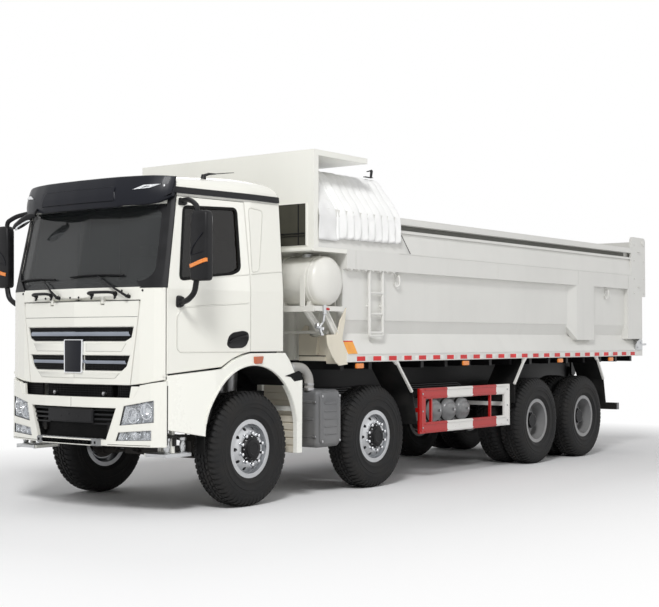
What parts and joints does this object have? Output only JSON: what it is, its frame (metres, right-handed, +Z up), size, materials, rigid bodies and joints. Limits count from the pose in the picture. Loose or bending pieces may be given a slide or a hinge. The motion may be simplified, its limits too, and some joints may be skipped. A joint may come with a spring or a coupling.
{
  "type": "dump truck",
  "caption": "Cab-over dump truck with a boxed steel body that tips rearwards on a front telescopic hoist, a top-hinged tailgate, steered front axles and twin-tyred rear axles.",
  "frame": {"origin": "on the ground under the middle of the truck, on its centre line", "axes": "+X to the truck's left, +Y to its rear, +Z up"},
  "size_m": [3, 10.41, 3.5998],
  "materials": {
    "white_paint": "gloss",
    "box_paint": "satin",
    "guard_paint": "gloss",
    "chassis_grey": "satin",
    "black_plastic": "matte",
    "tyre_rubber": "matte",
    "rim_silver": "satin",
    "glass": "gloss",
    "lamp": "gloss",
    "steel": "satin",
    "chrome": "polished",
    "tank_alloy": "satin",
    "tarp_cloth": "matte",
    "seat_fabric": "matte",
    "iron": "satin",
    "rubber": "matte"
  },
  "bodies": {
    "chassis": {"frame_rails": "chassis_grey", "engine_block": "iron", "driveline": "iron", "axles": "iron", "leaf_springs": "iron", "bumper": "white_paint", "headlamps": "lamp", "fuel_tank": "tank_alloy", "air_filter_box": "black_plastic", "air_tanks": "tank_alloy", "side_guards": "guard_paint", "front_fenders": "white_paint", "rear_underrun_bar": "chassis_grey", "hydraulic_tank": "box_paint"},
    "cab": {"cab_floor": "chassis_grey", "cab_walls": "white_paint", "cab_roof": "white_paint", "cab_front_frame": "white_paint", "windscreen": "glass", "visor": "black_plastic", "seats": "seat_fabric", "dashboard": "black_plastic"},
    "front_lid": {"front_panel": "white_paint"},
    "door_left": {"door_left": "white_paint", "door_window_left": "glass", "mirror_left": "black_plastic"},
    "door_right": {"door_right": "white_paint", "door_window_right": "glass", "mirror_right": "black_plastic"},
    "bed": {"bed_floor": "box_paint", "bed_sides": "box_paint", "bed_front_wall": "box_paint", "tarp": "tarp_cloth", "bed_mudguards": "rubber"},
    "tailgate": {"tailgate": "box_paint"},
    "hoist_barrel": {"hoist_barrel": "chassis_grey"},
    "hoist_stage_1": {"hoist_stage_1": "chrome"},
    "hoist_stage_2": {"hoist_stage_2": "chrome"},
    "hoist_stage_3": {"hoist_stage_3": "chrome"},
    "hoist_stage_4": {"hoist_stage_4": "chrome"},
    "knuckle_1_left": {"knuckle_1_left": "iron"},
    "wheel_1_left": {"tyre_1_left": "tyre_rubber", "rim_1_left": "rim_silver"},
    "knuckle_1_right": {"knuckle_1_right": "iron"},
    "wheel_1_right": {"tyre_1_right": "tyre_rubber", "rim_1_right": "rim_silver"},
    "knuckle_2_left": {"knuckle_2_left": "iron"},
    "wheel_2_left": {"tyre_2_left": "tyre_rubber", "rim_2_left": "rim_silver"},
    "knuckle_2_right": {"knuckle_2_right": "iron"},
    "wheel_2_right": {"tyre_2_right": "tyre_rubber", "rim_2_right": "rim_silver"},
    "wheel_3_left": {"twin_tyres_3_left": "tyre_rubber", "twin_rim_3_left": "rim_silver"},
    "wheel_3_right": {"twin_tyres_3_right": "tyre_rubber", "twin_rim_3_right": "rim_silver"},
    "wheel_4_left": {"twin_tyres_4_left": "tyre_rubber", "twin_rim_4_left": "rim_silver"},
    "wheel_4_right": {"twin_tyres_4_right": "tyre_rubber", "twin_rim_4_right": "rim_silver"}
  },
  "joints": [
    {"name": "steer_1_left", "type": "hinge", "parent": "chassis", "child": "knuckle_1_left", "pos_m": [0.838, -3.855, 0.5625], "axis": [0, 0, 1], "range_deg": [-35, 35]},
    {"name": "wheel_1_left_spin", "type": "hinge", "parent": "knuckle_1_left", "child": "wheel_1_left", "pos_m": [1.02, -3.855, 0.5625], "axis": [1, 0, 0], "continuous": true},
    {"name": "steer_1_right", "type": "hinge", "parent": "chassis", "child": "knuckle_1_right", "pos_m": [-0.838, -3.855, 0.5625], "axis": [0, 0, 1], "range_deg": [-35, 35]},
    {"name": "wheel_1_right_spin", "type": "hinge", "parent": "knuckle_1_right", "child": "wheel_1_right", "pos_m": [-1.02, -3.855, 0.5625], "axis": [1, 0, 0], "continuous": true},
    {"name": "steer_2_left", "type": "hinge", "parent": "chassis", "child": "knuckle_2_left", "pos_m": [0.838, -1.755, 0.5625], "axis": [0, 0, 1], "range_deg": [-24, 24]},
    {"name": "wheel_2_left_spin", "type": "hinge", "parent": "knuckle_2_left", "child": "wheel_2_left", "pos_m": [1.02, -1.755, 0.5625], "axis": [1, 0, 0], "continuous": true},
    {"name": "steer_2_right", "type": "hinge", "parent": "chassis", "child": "knuckle_2_right", "pos_m": [-0.838, -1.755, 0.5625], "axis": [0, 0, 1], "range_deg": [-24, 24]},
    {"name": "wheel_2_right_spin", "type": "hinge", "parent": "knuckle_2_right", "child": "wheel_2_right", "pos_m": [-1.02, -1.755, 0.5625], "axis": [1, 0, 0], "continuous": true},
    {"name": "wheel_3_left_spin", "type": "hinge", "parent": "chassis", "child": "wheel_3_left", "pos_m": [0.9, 1.82, 0.5625], "axis": [1, 0, 0], "continuous": true},
    {"name": "wheel_3_right_spin", "type": "hinge", "parent": "chassis", "child": "wheel_3_right", "pos_m": [-0.9, 1.82, 0.5625], "axis": [1, 0, 0], "continuous": true},
    {"name": "wheel_4_left_spin", "type": "hinge", "parent": "chassis", "child": "wheel_4_left", "pos_m": [0.9, 3.17, 0.5625], "axis": [1, 0, 0], "continuous": true},
    {"name": "wheel_4_right_spin", "type": "hinge", "parent": "chassis", "child": "wheel_4_right", "pos_m": [-0.9, 3.17, 0.5625], "axis": [1, 0, 0], "continuous": true},
    {"name": "cab_tilt", "type": "hinge", "parent": "chassis", "child": "cab", "pos_m": [0, -5.035, 0.8], "axis": [1, 0, 0], "range_deg": [0, 50]},
    {"name": "front_lid_hinge", "type": "hinge", "parent": "cab", "child": "front_lid", "pos_m": [0, -5.071, 1.978], "axis": [-1, 0, 0], "range_deg": [0, 70]},
    {"name": "door_left_hinge", "type": "hinge", "parent": "cab", "child": "door_left", "pos_m": [1.05, -4.924, 1.3], "axis": [0, 0, -1], "range_deg": [0, 70]},
    {"name": "door_right_hinge", "type": "hinge", "parent": "cab", "child": "door_right", "pos_m": [-1.05, -4.924, 1.3], "axis": [0, 0, 1], "range_deg": [0, 70]},
    {"name": "bed_tilt", "type": "hinge", "parent": "chassis", "child": "bed", "pos_m": [0, 4.295, 1.165], "axis": [-1, 0, 0], "range_deg": [0, 45]},
    {"name": "tailgate_hinge", "type": "hinge", "parent": "bed", "child": "tailgate", "pos_m": [0, 5.117, 3.095], "axis": [1, 0, 0], "range_deg": [0, 60]},
    {"name": "hoist_swing", "type": "hinge", "parent": "chassis", "child": "hoist_barrel", "pos_m": [0, -2.91, 0.84], "axis": [-1, 0, 0], "range_deg": [0, 23.95]},
    {"name": "hoist_slide_1", "type": "slide", "parent": "hoist_barrel", "child": "hoist_stage_1", "axis": [0, 0.0377, 0.9993], "range_m": [0, 1.3465]},
    {"name": "hoist_slide_2", "type": "slide", "parent": "hoist_stage_1", "child": "hoist_stage_2", "axis": [0, 0.0377, 0.9993], "range_m": [0, 1.3465]},
    {"name": "hoist_slide_3", "type": "slide", "parent": "hoist_stage_2", "child": "hoist_stage_3", "axis": [0, 0.0377, 0.9993], "range_m": [0, 1.3465]},
    {"name": "hoist_slide_4", "type": "slide", "parent": "hoist_stage_3", "child": "hoist_stage_4", "axis": [0, 0.0377, 0.9993], "range_m": [0, 1.3465]}
  ],
  "couplings": [
    {"joint": "steer_1_right", "follows": "steer_1_left", "ratio": 1},
    {"joint": "steer_2_left", "follows": "steer_1_left", "ratio": 0.67},
    {"joint": "steer_2_right", "follows": "steer_1_left", "ratio": 0.67},
    {"joint": "hoist_swing", "follows": "bed_tilt", "ratio": 0.5278},
    {"joint": "hoist_slide_1", "follows": "bed_tilt", "m_per_rad": 1.7131},
    {"joint": "hoist_slide_2", "follows": "bed_tilt", "m_per_rad": 1.7131},
    {"joint": "hoist_slide_3", "follows": "bed_tilt", "m_per_rad": 1.7131},
    {"joint": "hoist_slide_4", "follows": "bed_tilt", "m_per_rad": 1.7131}
  ]
}
